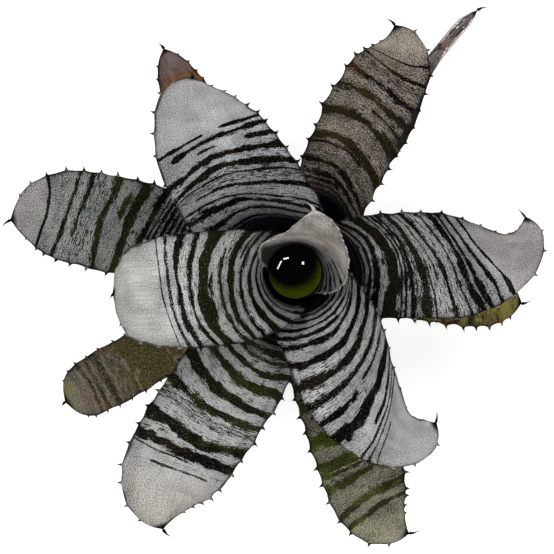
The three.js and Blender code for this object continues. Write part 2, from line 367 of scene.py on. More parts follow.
@dataclass(frozen=True)
class LeafFinish:
    """How one leaf is coloured and banded.

    leads says how the bands curve: rows of a place on the midrib and of how far beyond it a band lies at
    the left margin, halfway to it, halfway to the right margin and at that margin, in mm. end_start is
    where the plain pale end begins. sheath is the colour of the painted shade in the axil, which ends at
    axil_shade_top along the leaf, and at axil_shade_side across it where only one side is shaded. lift
    paints light onto the scurf next to that shade. Towards the margins, painted shade dims the scurf over
    dusk mm. cover and cover_in_band say how densely it lies, grain, end_grain and streak how much its light
    and dark differ, and blotches how strong the stains of age are.
    rough_edge scales how far a band's edges stray, and strokes lets more loose strokes through.
    """

    slot: Slot
    bands: tuple[Band, ...]
    leads: tuple[tuple[float, ...], ...]
    end_start: float
    scurf: Paint
    end: Paint
    skin: Paint = (5, 6, 4)
    tinge: Paint = (24, 18, 11)
    green: Paint = (38, 42, 10)
    # Painted shade in the axil: its colour, and where it ends along the leaf and across it
    sheath: Paint = (5, 8, 18)
    axil_shade_top: float = 60.0
    axil_shade_side: float = -99.0
    foot: Paint = (50, 42, 26)
    rim: Paint = (22, 18, 17)
    horn: Paint = (14, 11, 10)
    cover: float = 0.8
    cover_in_band: float = 0.07
    rough_edge: float = 1.4
    strokes: float = 0.005
    grain: float = 0.6
    end_grain: float = 0.42
    # Painted shade: over how many mm the scurf is painted dimmer towards the margins
    dusk: float = 5.0
    # Painted light: how much brighter the scurf is painted next to the axil's painted shade
    lift: float = 1.0
    streak: float = 0.08
    blotch: Paint = (60, 62, 20)
    blotches: float = 0.0
    specular: float = 0.015
    scurf_depth: float = 0.00012

    def _lay_bands(self, flow: Value, share: Value, wander: Value,
                   swell: Value) -> tuple[Value, Number, Value]:
        """Lay the bands over each other, with even rings round the sheath below the first.

        Args:
            flow: the place along the leaf in the frame of the bands, in mm.
            share: the share of the half width across it, positive to the left.
            wander: how far the bands' edges stray, in mm.
            swell: how much wider or narrower the bands are here.

        Returns:
            How solid the bands are, how green, and how far inside the nearest one a place lies, in mm.
        """
        first = self.bands[0]
        inside = swell * RING_HALF_WIDTH - flow.graph.math("PINGPONG", flow, RING_SPACING)
        edge = inside.least(first.middle - first.width - 2 - flow)
        cover, green = (edge + wander).ramp(-EDGE_BLUR, EDGE_BLUR, soft=True), 0.0
        for band in self.bands:
            inside = swell * (band.width / 2) - (flow - band.middle).size()
            for sign, reach in ((1, band.left), (-1, band.right)):
                if reach < 1:
                    inside -= share.ramp(sign * (reach - REACH_BLUR), sign * (reach + REACH_BLUR),
                                         0.0, band.width / 2 + 4)
            if band.ink < LOOSE_INK:
                inside = inside.least(LOOSE_INSIDE)
            edge = edge.most(inside)
            frays = self.rough_edge * mix(2.4, 1.0, min(1.0, band.ink))
            frays *= mix(0.12, 1.0, smooth(band.width / 4 - 0.25))
            solid = (inside + wander * frays).ramp(-EDGE_BLUR, EDGE_BLUR, 0.0,
                                                   mix(0.4, 1.0, min(1.0, band.ink / 0.8)), soft=True)
            cover = cover.most(solid)
            if band.green:
                green = (solid * band.green).most(green)
        return cover, green, edge

    def material(self, name: str, seed: float) -> Material:
        """Make the leaf's skin: green-black, crossed by bands that its silver scurf leaves bare.

        Args:
            name: the leaf's name.
            seed: moves every pattern, so that no two leaves are alike.

        Returns:
            The material.
        """
        graph = Graph(name)
        across, along, from_margin = graph.attribute(PLACE_LAYER)
        margin = from_margin.size()
        under = from_margin.ramp(-0.3, 0.0, 1.0, 0.0)
        flow, share, horn = graph.attribute(FRAME_LAYER)

        def grain(x_scale: float, y_scale: float, shift: float, **kind: float) -> Value:
            """Return a noise of so many features a mm across the leaf and along it."""
            return graph.noise(graph.vector(across * x_scale, flow * y_scale, seed + shift), 1.0, **kind)

        patches = grain(0.045, 0.06, 3.0, detail=2.0)
        ragged = grain(0.16, 0.95, 0.0, detail=5.0, roughness=0.68)
        torn = grain(0.5, 0.9, 11.0, detail=4.0, roughness=0.7)
        strokes = grain(0.15, 1.1, 41.0, detail=5.0, roughness=0.66)
        specks = grain(1.15, 1.3, 7.0, detail=2.0, roughness=0.65)
        pepper = grain(1.15, 1.3, 29.0, detail=2.0, roughness=0.8)
        streaks = grain(0.9, 0.04, 17.0)
        clouds = grain(0.022, 0.03, 23.0, detail=2.0)

        # The bands, with their torn and broken edges
        wander = (ragged - 0.5 + (torn - 0.5) * 0.6) * patches.ramp(0.2, 0.9, 1.2, 3.0)
        swell = grain(0.05, 0.12, 53.0, detail=1.0).ramp(0.25, 0.75, 0.68, 1.42)
        band, green, edge = self._lay_bands(flow, share, wander, swell)
        end = (flow + patches * 8.0).ramp(self.end_start - 6, self.end_start + 14, soft=True)

        # Dry strokes that run with the bands, close to them and in loose patches
        crowding = patches.ramp(0.35, 0.7, -0.06, 0.05) + edge.ramp(-3.0, 0.3) * 0.1
        stroke = (strokes + crowding).ramp(0.645 - self.strokes, 0.685 - self.strokes)
        band = band.most(stroke * flow.ramp(self.end_start - 34, self.end_start - 4, 0.9, 0.0))

        # The scurf's cover: dense between the bands and over the end, thin in a band
        between_bands = patches.ramp(0.0, 1.0, self.cover - 0.12, self.cover + 0.06)
        left_in_band = torn.ramp(0.3, 1.0, 0.2 * self.cover_in_band, 2.4 * self.cover_in_band)
        cover = graph.mix(band, between_bands, left_in_band)
        cover = graph.mix(end * (1.0 - band), cover, min(0.97, self.cover + 0.12))
        scurf = graph.math("ADD", (cover - specks) * 3.6, 0.5, clamp=True)

        # The scurf's light and dark: its grain and its streaks, then painted shade by the margins and in
        # the axil, and painted light just beyond the axil
        pepper += (patches - 0.5) * 0.25
        grains = [pepper.ramp(0.3, 0.7, 1.0 - depth, 1.0 + 0.6 * depth)
                  for depth in (self.grain, self.end_grain)]
        shade = clouds.ramp(0.2, 0.8, 0.86, 1.1)
        shade *= streaks.ramp(0.25, 0.75, 1.0 - self.streak, 1.0 + 0.7 * self.streak)
        shade *= graph.mix(end, *grains)
        # Painted shade towards the margins
        shade *= (margin + (torn - 0.5) * 4.0).ramp(0.0, self.dusk, 0.66, 1.0)
        # Painted light on the scurf just beyond the axil
        shade *= flow.ramp(self.axil_shade_top + 10, self.axil_shade_top + 70, self.lift, 1.0, soft=True)
        # Painted shade on the scurf in the axil, on the shaded side only
        side = across.ramp(self.axil_shade_side - 7, self.axil_shade_side + 7) * (1.0 - under)
        gloom = flow.ramp(self.axil_shade_top - 4, self.axil_shade_top + 18, 0.4, 0.0, soft=True)
        shade *= 1.0 - gloom * side
        pale = graph.dim(graph.blend(end, self.scurf, self.end), shade)

        # The skin below the scurf, with the stains of age
        tinged = clouds.ramp(0.45, 0.8, soft=True)
        skin = graph.blend(tinged, self.skin, self.tinge)
        skin = graph.blend(torn.ramp(0.2, 0.8, 0.5, 1.0) * green, skin, self.green)
        if self.blotches:
            stain = patches.ramp(0.45, 0.75, soft=True) * self.blotches
            skin = graph.blend(stain, skin, self.blotch)
            pale = graph.blend(stain * 0.55, pale, self.blotch)
            pale = graph.blend(tinged * (0.5 * self.blotches), pale, self.tinge)
        skin = graph.dim(skin, torn.ramp(0.3, 0.7, 0.5, 1.5))
        color = graph.blend(scurf, skin, pale)

        # Painted shade in the axil, the sheath's foot, the margin's rim, and the spines and the horn
        # The axil is painted dark, as shade, on the upper face of the shaded side
        deep_shade = (flow + ragged * 5.0).ramp(self.axil_shade_top - 5, self.axil_shade_top + 5, 0.95, 0.0, soft=True)
        color = graph.blend(deep_shade * side, color, self.sheath)
        color = graph.blend(under * along.ramp(-85.0, -10.0, 0.85, 0.0, soft=True), color, self.foot)
        rim = margin + (torn - 0.5) * 2.0 + (patches - 0.5) * 3.0
        color = graph.blend(rim.ramp(0.6, 1.9, 0.85, 0.0), color, self.rim)
        graph.set("Base Color", graph.blend(horn, color, self.horn))
        graph.set("Roughness", graph.mix(scurf, 0.45, 0.8))
        graph.set("Specular IOR Level", self.specular)
        graph.bump(scurf * 0.5 + streaks * 0.5, self.scurf_depth)
        return graph.material


@dataclass(frozen=True)
class WaterFinish:
    """Still tank water: nearly black, with the green of a drowned leaf base at one side.

    The painted shade of the deep tank lies round centre, in metres, and turns to painted light on the
    drowned leaf base's green between the radii dark_to and green_from.
    """

    # Painted shade of the deep tank, and painted light on the drowned leaf base
    deep_shade: Paint = (1, 2, 2)
    green: Paint = (138, 156, 10)
    centre: tuple[float, float] = (-0.003, 0.0095)
    dark_to: float = 0.0188
    green_from: float = 0.0300
    stray: float = 0.0016
    specular: float = 0.12

    def material(self) -> Material:
        """Make the water's material."""
        graph = Graph("tank_water")
        x, y, _ = graph.object_parts()
        right, up = x - self.centre[0], y - self.centre[1]
        drift = graph.noise(graph.vector(x, y, 0.0), 220.0)
        away = graph.math("SQRT", right * right + up * up) + (drift - 0.5) * self.stray
        # Painted shade round centre, turning to painted light on the drowned leaf base further out
        green = away.ramp(self.dark_to, self.green_from, soft=True)
        graph.set("Base Color", graph.blend(green, self.deep_shade, self.green))
        graph.set("Roughness", 0.0)
        graph.set("IOR", 1.33)
        graph.set("Specular IOR Level", self.specular)
        return graph.material


@dataclass(frozen=True)
class BarkFinish:
    """The brown, fibrous skin of the caudex and its roots."""

    hollow: Paint = (52, 38, 26)
    ridge: Paint = (128, 98, 66)
    stain: Paint = (34, 26, 20)
    roughness: float = 0.85
    relief: float = 0.0006

    def material(self) -> Material:
        """Make the bark's material."""
        graph = Graph("stem_bark")
        x, y, z = graph.object_parts()
        fibres = graph.noise(graph.vector(x * 3.0, y * 3.0, z), 160.0, detail=5.0)
        clouds = graph.noise(graph.vector(x, y, z), 60.0)
        color = graph.blend(fibres, self.hollow, self.ridge)
        graph.set("Base Color", graph.blend(clouds.ramp(0.4, 0.8, 0.0, 0.6), color, self.stain))
        graph.set("Roughness", self.roughness)
        graph.bump(fibres, self.relief)
        return graph.material


@dataclass(frozen=True)
class PaperFinish:
    """The pale, dull floor, which glows a little."""

    color: tuple[float, ...] = (0.93, 0.93, 0.93, 1.0)
    roughness: float = 0.9
    glow: float = 0.35

    def material(self) -> Material:
        """Make the paper's material."""
        graph = Graph("floor_paper")
        graph.set("Base Color", self.color)
        graph.set("Roughness", self.roughness)
        graph.set("Specular IOR Level", 0.0)
        graph.set("Emission Color", (1.0, 1.0, 1.0, 1.0))
        graph.set("Emission Strength", self.glow)
        return graph.material


def show(name: str, data: bpy.types.ID) -> Object:
    """Add an object of a mesh, a light or a camera to the scene."""
    shown = bpy.data.objects.new(name, data)
    bpy.context.scene.collection.objects.link(shown)
    return shown


def show_mesh(mesh: BMesh, name: str, material: Material) -> Object:
    """Turn a bmesh, in metres, into an object with one material."""
    data = bpy.data.meshes.new(name)
    mesh.to_mesh(data)
    mesh.free()
    data.materials.append(material)
    return show(name, data)


def grow(mesh: BMesh, disc: list[BMFace], first: bool) -> list[BMFace]:
    """Extrude a disc into the next step of a tube, leaving its own faces as a cap at the first step."""
    grown = bmesh.ops.extrude_face_region(mesh, geom=disc, use_keep_orig=first)
    return [face for face in grown["geom"] if isinstance(face, BMFace)]


def finish_piece(mesh: BMesh, name: str, material: Material, node: str,
                 sharp: float) -> Object:
    """Turn a bmesh into a dressed piece that stands for a solid, its faces turned outwards.

    Args:
        mesh: the shape, in metres.
        name: the piece's name.
        material: its finish.
        node: the solid that it stands for.
        sharp: the angle in degrees past which an edge stays crisp.

    Returns:
        The piece.
    """
    bmesh.ops.recalc_face_normals(mesh, faces=list(mesh.faces))
    piece = show_mesh(mesh, name, material)
    piece.data.shade_smooth()
    piece.data.set_sharp_from_angle(angle=math.radians(sharp))
    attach(piece, BODY)
    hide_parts(node)
    return piece


@dataclass(frozen=True)
class LeafForm:
    """The shape of one leaf, with the same driving values as its solid, in mm and degrees.

    The sheath becomes the blade at the height collar. length and half are the blade's length and half
    width, clasp is half the angle that the sheath's foot spans, and round_end the reach of the end's
    rounding. pitch, gutter, turn and roll hold a value at each fifth of the way along the blade, up to its
    tip. rolled is the half width of the part that has rolled up. spine is the length of a short spine, and
    spacing and spacing_at_tip are the steps between spines. Between two of them the margin sags by about
    scallop of that step. point is the length of the horn at the tip, and hook how far it turns to the left,
    as a share of that length.
    """

    name: str
    azimuth: float
    collar: float
    length: float
    half: float
    clasp: float
    round_end: float
    pitch: tuple[float, ...]
    gutter: tuple[float, ...]
    turn: tuple[float, ...] = LEVEL
    roll: tuple[float, ...] = LEVEL
    rolled: float | None = None
    spine: float = 4.0
    spacing: float = 14.0
    spacing_at_tip: float = 7.5
    scallop: float = 0.07
    point: float = 8.0
    hook: float = 0.5


@dataclass(frozen=True)
class Station:
    """One step of a leaf's midrib: its place, frame, half angle and half width of the section."""

    along: float
    place: Vector
    inward: Vector
    side: Vector
    angle: float
    half: float


class LeafSurface:
    """The middle surface of a leaf, by distance along it and share across it."""

    def __init__(self, form: LeafForm, rank: int) -> None:
        """Walk the midrib of the leaf of that rank, 0 being the innermost."""
        self.form = form
        self.joint = FIRST_JOINT_HEIGHT - JOINT_STEP * rank
        share = (self.joint - STEM_SHOULDER_HEIGHT) / (STEM_TOP_HEIGHT - STEM_SHOULDER_HEIGHT)
        stem_radius = mix(STEM_SHOULDER_RADIUS, STEM_TOP_RADIUS, share)
        self.joint_radius = stem_radius + JOINT_GAP + THICKNESS / 2
        self.tube_radius = TANK_RADIUS + NEST_STEP * rank
        self.stations: list[Station] = []
        self._walk_sheath()
        self.collar_index = len(self.stations)
        self._walk_blade()
        self.start = self.stations[0].along
        self.step = form.length / (len(self.stations) - 1 - self.collar_index)

    def radius_at(self, height: float) -> float:
        """Return the sheath's radius at a height."""
        swell = math.sin(math.pi / 2 * min(1, (height - self.joint) / SHEATH_SWELL_HEIGHT))
        return mix(self.joint_radius, self.tube_radius, swell)

    def _walk_sheath(self) -> None:
        """Add the stations from the joint with the stem up to the collar."""
        form = self.form
        outward = around(math.radians(form.azimuth))
        collar_angle = COLLAR_NARROWING * form.half / self.tube_radius
        height = self.joint
        while height < form.collar:
            share = (height - self.joint) / (form.collar - self.joint)
            radius = self.radius_at(height)
            angle = mix(math.radians(form.clasp), collar_angle, smooth(share))
            place = outward * radius + UP * height
            self.stations.append(Station(height - form.collar, place, -outward, UP.cross(outward), angle,
                                         angle * radius))
            height += 1

    def _end_half_width(self, from_tip: float) -> float:
        """Return half the width at a distance from the tip: a slender point, then a widening end."""
        point = POINT_HALF_WIDTH * min(1, from_tip / POINT_LENGTH)
        beyond = max(0, from_tip - 0.55 * POINT_LENGTH)
        widening = 1 - math.exp(-((beyond / self.form.round_end) ** END_SHAPE))
        return point + (self.form.half - point) * widening

    def _walk_blade(self) -> None:
        """Add the stations from the collar to the tip."""
        form = self.form
        azimuth = math.radians(form.azimuth)
        collar_angle = math.degrees(COLLAR_NARROWING * form.half / self.tube_radius)
        rise = self.radius_at(form.collar + 0.5) - self.radius_at(form.collar - 0.5)
        slope = math.degrees(math.atan(rise))
        place = around(azimuth, self.radius_at(form.collar), form.collar)
        steps = round(form.length)
        for i in range(steps + 1):
            t = i / steps
            pitch = math.radians(through([slope, *form.pitch], t))
            heading = azimuth + math.radians(through([0, *form.turn], t))
            roll = math.radians(through([0, *form.roll], t))
            tilt = pitch * smooth(t / 0.3)
            ahead = around(heading)
            along = ahead * math.sin(pitch) + UP * math.cos(pitch)
            turned = Matrix.Rotation(roll, 3, along)
            inward = turned @ (UP * math.sin(tilt) - ahead * math.cos(tilt))
            side = turned @ UP.cross(ahead)
            angle = math.radians(through([collar_angle, *form.gutter], t))
            broad = form.half
            if form.rolled is not None:
                broad = mix(form.half, form.rolled, smooth((t - 0.45) / 0.3))
            base = mix(COLLAR_NARROWING, 1, smooth(t / 0.5)) * broad
            half = min(base, self._end_half_width(form.length * (1 - t)))
            self.stations.append(Station(t * form.length, place.copy(), inward, side, angle, half))
            place += along * (form.length / steps)

    def _between(self, along: float) -> tuple[Station, Station, float]:
        """Return the stations on both sides of a place, and its share of the way between them."""
        if along < 0:
            index = min(along - self.start, self.collar_index)
        else:
            index = self.collar_index + along / self.step
        index = max(0.0, min(len(self.stations) - 1.000001, index))
        return self.stations[int(index)], self.stations[int(index) + 1], index % 1

    def half_at(self, along: float) -> float:
        """Return half the leaf's width at a place along it, in mm."""
        a, b, u = self._between(along)
        return mix(a.half, b.half, u)

    def point(self, along: float, across: float) -> Vector:
        """Return a point of the surface.

        Args:
            along: distance beyond the collar, in mm, negative in the sheath.
            across: share of the half width, from -1 to 1, positive to the left seen outwards.

        Returns:
            The point in mm.
        """
        a, b, u = self._between(along)
        angle = mix(a.angle, b.angle, u)
        radius = mix(a.half, b.half, u) / angle
        turned = across * angle
        inward = a.inward.lerp(b.inward, u) * (radius * (1 - math.cos(turned)))
        return a.place.lerp(b.place, u) + inward + a.side.lerp(b.side, u) * (radius * math.sin(turned))

    def axes(self, along: float, across: float) -> Vectors:
        """Return the unit directions lengthwise, crosswise and out of the upper face at a place."""
        lengthwise = (self.point(along + 0.5, across) - self.point(along - 0.5, across)).normalized()
        near = max(-0.99, min(0.99, across))
        crosswise = (self.point(along, near + 0.01) - self.point(along, near - 0.01)).normalized()
        return lengthwise, crosswise, lengthwise.cross(crosswise).normalized()


class BandFrame:
    """Carries places on a leaf into the frame of its curved bands, where each band is straight."""

    def __init__(self, leads: tuple[tuple[float, ...], ...]) -> None:
        """Spread the rows of leads over the whole leaf."""
        self.middles = numpy.arange(-150.0, 330.0, 2.0)
        rows = numpy.array(leads)
        columns = [numpy.interp(self.middles, rows[:, 0], rows[:, k]) for k in range(1, 5)]
        self.columns = [*columns[:2], 0.0 * self.middles, *columns[2:]]
        self.known: dict[float, numpy.ndarray] = {}

    def place(self, along: float, across: float) -> float:
        """Return where on the midrib the band through a place crosses it, in mm beyond the collar."""
        key = round(across, 4)
        if key not in self.known:
            self.known[key] = self.middles + through(self.columns, (1 - key) / 2)
        return float(numpy.interp(along, self.known[key], self.middles))


@dataclass
class Leaf:
    """One leaf of the rosette: sheath, banded blade, spiny margins and drawn-out point."""

    form: LeafForm
    finish: LeafFinish
    rank: int

    def __post_init__(self) -> None:
        """Lay out the leaf's surface and seed its own small irregularities."""
        self.surface = LeafSurface(self.form, self.rank)
        self.frame = BandFrame(self.finish.leads)
        self.seed = 37.0 * (self.rank + 1)
        rng = random.Random(self.rank)
        self.spines = {sign: self._spread_spines(sign, rng) for sign in (-1, 1)}

    def _spread_spines(self, sign: int, rng: random.Random) -> list[tuple[float, float]]:
        """Return the place along the leaf and the length of each spine of a margin, from the collar on."""
        spines = []
        from_tip = POINT_LENGTH + (8 if sign > 0 else 5)
        while from_tip < self.form.length - SPINELESS_COLLAR:
            place = self.form.length - from_tip + rng.uniform(-SPINE_STRAY, SPINE_STRAY)
            spines.insert(0, (place, self.form.spine * rng.uniform(*SPINE_LENGTHS)))
            from_tip += mix(self.form.spacing_at_tip, self.form.spacing, min(1, from_tip / CLOSE_SPINES))
        return spines

    def _reach(self, along: float, across: float) -> float:
        """Return across with the margin's own line, which is drawn out at each spine and sags between."""
        sign = 1 if across > 0 else -1
        places = [place for place, _ in self.spines[sign]]
        index = bisect.bisect(places, along)
        stretch = MARGIN_STRAY * noise.noise(Vector((along / 17, 3.0 * sign, self.seed)))
        if 0 < index < len(places):
            low, high = places[index - 1:index + 1]
            share = (along - low) / (high - low)
            stretch += self.form.scallop * (high - low) * (abs(2 * share - 1) ** 1.6 - 0.5)
        stretch *= smooth((along - FREE_FROM) / 30) * smooth((self.form.length - POINT_LENGTH - along) / 8)
        return across + sign * abs(across) ** 4 * stretch / self.surface.half_at(along)

    def _along(self, share: float) -> float:
        """Return the place of a row, with closer rows in the end of the blade."""
        start, length = self.surface.start, self.form.length
        if share < COARSE_ROWS:
            return mix(start, length - FINE_END, share / COARSE_ROWS)
        return mix(length - FINE_END, length, (share - COARSE_ROWS) / (1 - COARSE_ROWS))

    def _relief(self, along: float, across: float) -> float:
        """Return how far the living surface stands off the ideal one, in mm."""
        place = Vector((across * self.form.half / 26, along / 24, self.seed))
        swell = SWELL_DEPTH * noise.noise(place)
        ripple = RIPPLE_DEPTH * noise.noise(place * 4.1)
        wave = MARGIN_WAVE * smooth((abs(across) - 0.72) / 0.28)
        wave *= noise.noise(Vector((along / 13, across, self.seed + 5)))
        return smooth((along - FREE_FROM) / 40) * (swell + ripple + wave)

    def _seat(self, along: float, across: float) -> Vectors:
        """Return the directions at a place, as LeafSurface.axes does, and the living surface's point."""
        axes = self.surface.axes(along, across)
        point = self.surface.point(along, self._reach(along, across))
        return *axes, point + axes[2] * self._relief(along, across)

    def _flow(self, along: float, across: float) -> float:
        """Return the place in the frame of the bands, with the bands' slow waver."""
        flow = self.frame.place(along, across)
        return flow + BAND_WAVER * noise.noise(Vector((across * 1.7, flow / 9, self.seed)))

    def _sheet_point(self, across: float, along: float) -> Vectors:
        """Return what both faces of the sheet share at a place.

        Args:
            across: share of the half width, from -1 to 1.
            along: distance beyond the collar, in mm.

        Returns:
            The middle surface's point, half the thickness as a vector, and what the two attributes say.
        """
        _, _, normal, middle = self._seat(along, across)
        width = self.surface.half_at(along)
        from_margin = (1 - abs(across)) * width
        half = mix(MARGIN_THICKNESS, THICKNESS, smooth(from_margin / MARGIN_TAPER)) / 2
        tip = smooth((along - self.form.length + POINT_LENGTH + 2) / 4)
        return (middle, normal * half, Vector((across * width, along, from_margin)),
                Vector((self._flow(along, across), across, tip)))

    def _lay(self, mesh: BMesh, vert: BMVert, point: Vector,
             place: tuple[float, ...], bands: tuple[float, ...]) -> None:
        """Put a vertex at a point in mm, and tell the skin where it lies.

        Args:
            mesh: the leaf's mesh.
            vert: the vertex.
            point: where it goes.
            place: its distances across and along the leaf and from the margin, the last negative below.
            bands: its place in the frame of the bands, its share across, and how much it is horn.
        """
        layers = mesh.verts.layers.float_vector
        vert.co = point * MM
        vert[layers[PLACE_LAYER]] = place
        vert[layers[FRAME_LAYER]] = bands

    def _add_blade(self, mesh: BMesh) -> None:
        """Add the sheath and blade as one closed sheet of real thickness."""
        rows = round((self.form.length - self.surface.start) / ROW_STEP)
        columns = 2 * round(self.form.half / COLUMN_STEP)
        lower = bmesh.ops.create_grid(mesh, x_segments=columns, y_segments=rows, size=1.0)["verts"]
        sheet = list(dict.fromkeys(face for vert in lower for face in vert.link_faces))
        raised = bmesh.ops.extrude_face_region(mesh, geom=sheet, use_keep_orig=True)
        upper = [v for v in raised["geom"] if isinstance(v, BMVert)]
        known: dict[tuple[float, float], Vectors] = {}
        for verts, face in ((lower, -1), (upper, 1)):
            for vert in verts:
                key = (round(vert.co.x, 5), round(vert.co.y, 5))
                if key not in known:
                    known[key] = self._sheet_point(vert.co.x, self._along((vert.co.y + 1) / 2))
                middle, half, place, bands = known[key]
                self._lay(mesh, vert, middle + face * half, (place.x, place.y, face * place.z), bands)
        bmesh.ops.remove_doubles(mesh, verts=lower + upper, dist=WELD)

    def _add_thorn(self, mesh: BMesh, segments: int, base: float, tip: float,
                   cuts: int) -> list[BMVert]:
        """Add an upright cone one unit high, with rings round its flank.

        Args:
            mesh: the leaf's mesh.
            segments: how many sides it has.
            base: its radius at the base.
            tip: its radius at the tip.
            cuts: how many rings its flank gets.

        Returns:
            The cone's vertices.
        """
        cone = bmesh.ops.create_cone(mesh, cap_ends=True, cap_tris=False, segments=segments, radius1=base,
                                     radius2=tip, depth=1.0)
        edges = dict.fromkeys(edge for vert in cone["verts"] for edge in vert.link_edges)
        flanks = [edge for edge in edges if abs(edge.verts[0].co.z - edge.verts[1].co.z) > 0.5]
        bmesh.ops.subdivide_edges(mesh, edges=flanks, cuts=cuts)
        verts = [vert for vert in mesh.verts if not vert.tag]
        for vert in verts:
            vert.tag = True
        return verts

    def _add_spine(self, mesh: BMesh, along: float, sign: int, length: float) -> None:
        """Add one hooked spine to a margin.

        Args:
            mesh: the leaf's mesh.
            along: its place along the leaf, in mm.
            sign: the margin, 1 for the left and -1 for the right.
            length: the spine's length, in mm.
        """
        lengthwise, crosswise, normal, root = self._seat(along, sign)
        for vert in self._add_thorn(mesh, 6, 0.5, 0.03, 3):
            height = vert.co.z + 0.5
            girth = 2 * (1 - height) ** 0.45 if height < 1 else 1.0
            out = sign * (length * height - 0.5 * (1 - height))
            spread = vert.co.x * SPINE_BASE * girth * 0.5 * (0.4 + 0.6 * (1 - height))
            hook = SPINE_HOOK * length * height * height
            point = root + crosswise * out + lengthwise * (spread + hook)
            self._lay(mesh, vert, point + normal * (vert.co.y * girth * SPINE_DEPTH),
                      (sign * self.form.half, along, 2.0), (along, sign, smooth((height + 0.1) / 0.5)))

    def _add_horn(self, mesh: BMesh) -> None:
        """Draw the leaf's point out into a thin horn that hooks to the left."""
        along = self.form.length - HORN_ROOT
        lengthwise, crosswise, normal, root = self._seat(along, 0)
        for vert in self._add_thorn(mesh, 8, 1.0, 0.05, 4):
            height = vert.co.z + 0.5
            hook = self.form.hook * self.form.point * height * height
            point = root + lengthwise * (self.form.point * height)
            point += crosswise * (vert.co.x * HORN_HALF_WIDTH + hook)
            self._lay(mesh, vert, point + normal * (vert.co.y * HORN_HALF_DEPTH), (0, along, 2.0),
                      (along, 0, 1))

    def build(self) -> Object:
        """Make the leaf's piece, dress it and let it stand for its solid."""
        mesh = bmesh.new()
        for layer in (PLACE_LAYER, FRAME_LAYER):
            mesh.verts.layers.float_vector.new(layer)
        for sign, spines in self.spines.items():
            for along, length in spines:
                self._add_spine(mesh, along, sign, length)
        self._add_horn(mesh)
        self._add_blade(mesh)
        name = self.form.name
        return finish_piece(mesh, name + "_banded", self.finish.material(name, self.seed), name,
                            50)


STRAIGHT = ((0.0, 0.0, 0.0, 0.0, 0.0),)
